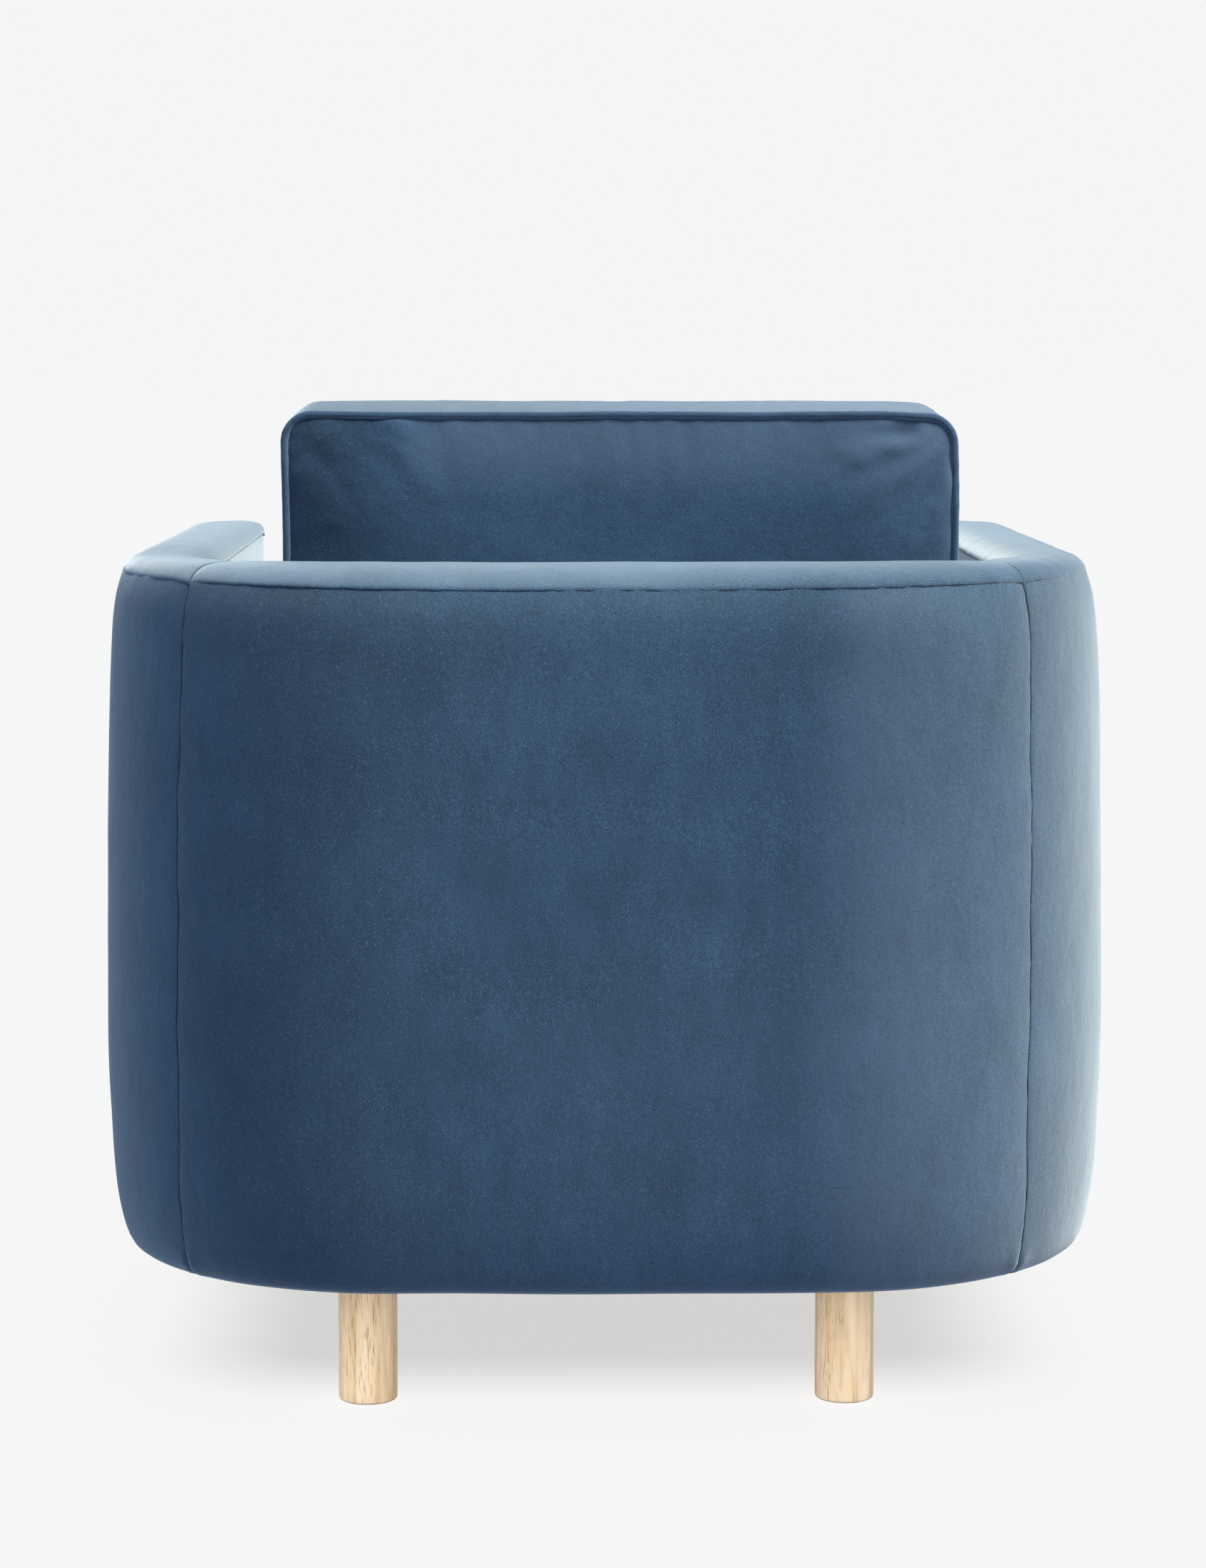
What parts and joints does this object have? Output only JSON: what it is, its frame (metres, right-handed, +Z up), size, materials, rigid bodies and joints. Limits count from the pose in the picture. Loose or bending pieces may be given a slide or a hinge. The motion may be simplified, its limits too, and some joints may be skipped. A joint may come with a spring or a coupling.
{
  "type": "upholstered armchair",
  "caption": "Tub armchair with rounded rear corners, straight arms, loose box seat and back cushions with piping, and turned wooden legs.",
  "frame": {"origin": "on the floor, under the middle of the chair's outer box", "axes": "+Z up, -Y the way the sitter faces, +X the sitter's left"},
  "size_m": [0.864, 0.85, 0.8464],
  "materials": {
    "velvet": "cut-pile velvet, dusty blue, bright at grazing angles",
    "piping": "cord covered in the same velvet",
    "zip_tape": "woven zip tape with plastic coil",
    "zip_metal": "small plated slider",
    "oak": "matt clear-lacquered pale oak",
    "timber": "sawn hardwood frame timber",
    "plywood": "birch plywood",
    "zinc_steel": "zinc-plated",
    "spring_steel": "oil-tempered wire",
    "foam": "cut polyurethane foam",
    "burlap": "woven jute",
    "webbing": "woven jute webbing",
    "cambric": "black non-woven bottom cloth"
  },
  "bodies": {
    "frame": {"arm_post_left": "timber", "arm_post_right": "timber", "back_post_left": "timber", "back_post_right": "timber", "back_rail": "timber", "back_web_lower": "webbing", "back_web_upper": "webbing", "base_rib_back": "plywood", "base_rib_front": "plywood", "base_rib_left": "plywood", "base_rib_right": "plywood", "deck_pad": "foam", "dust_cover": "cambric", "front_border_cover": "velvet", "front_rail": "timber", "hanger_bolt_front_left": "zinc_steel", "hanger_bolt_front_right": "zinc_steel", "hanger_bolt_rear_left": "zinc_steel", "hanger_bolt_rear_right": "zinc_steel", "inside_arm_cover_left": "velvet", "inside_arm_cover_right": "velvet", "inside_back_cover": "velvet", "leg_front_left": "oak", "leg_front_right": "oak", "leg_rear_left": "oak", "leg_rear_right": "oak", "outside_arm_cover_left": "velvet", "outside_arm_cover_right": "velvet", "outside_back_cover": "velvet", "seat_spring_1": "spring_steel", "seat_spring_2": "spring_steel", "seat_spring_3": "spring_steel", "seat_spring_4": "spring_steel", "seat_spring_5": "spring_steel", "side_rail_left": "timber", "side_rail_right": "timber", "spring_cloth": "burlap", "tee_nut_front_left": "zinc_steel", "tee_nut_front_right": "zinc_steel", "tee_nut_rear_left": "zinc_steel", "tee_nut_rear_right": "zinc_steel", "top_band_back": "velvet", "top_band_left": "velvet", "top_band_right": "velvet", "top_rib_back": "plywood", "top_rib_left": "plywood", "top_rib_right": "plywood"},
    "seat_cushion": {"seat_cushion_core": "foam", "seat_cushion_cover": "velvet", "seat_cushion_piping_a": "piping", "seat_cushion_piping_b": "piping", "seat_cushion_zip": "zip_tape"},
    "back_cushion": {"back_cushion_core": "foam", "back_cushion_cover": "velvet", "back_cushion_piping_a": "piping", "back_cushion_piping_b": "piping", "back_cushion_zip": "zip_tape"},
    "seat_zip_slider": {"seat_cushion_zip_slider": "zip_metal"},
    "back_zip_slider": {"back_cushion_zip_slider": "zip_metal"}
  },
  "joints": [
    {"name": "seat_cushion_lift", "type": "slide", "parent": "frame", "child": "seat_cushion", "axis": [0, 0, 1], "range_m": [0, 0.3]},
    {"name": "back_cushion_lift", "type": "slide", "parent": "seat_cushion", "child": "back_cushion", "axis": [0, 0, 1], "range_m": [0, 0.35]},
    {"name": "seat_zip", "type": "slide", "parent": "seat_cushion", "child": "seat_zip_slider", "axis": [1, 0, 0], "range_m": [0, 0.54]},
    {"name": "back_zip", "type": "slide", "parent": "back_cushion", "child": "back_zip_slider", "axis": [-1, 0, 0], "range_m": [0, 0.48]}
  ]
}
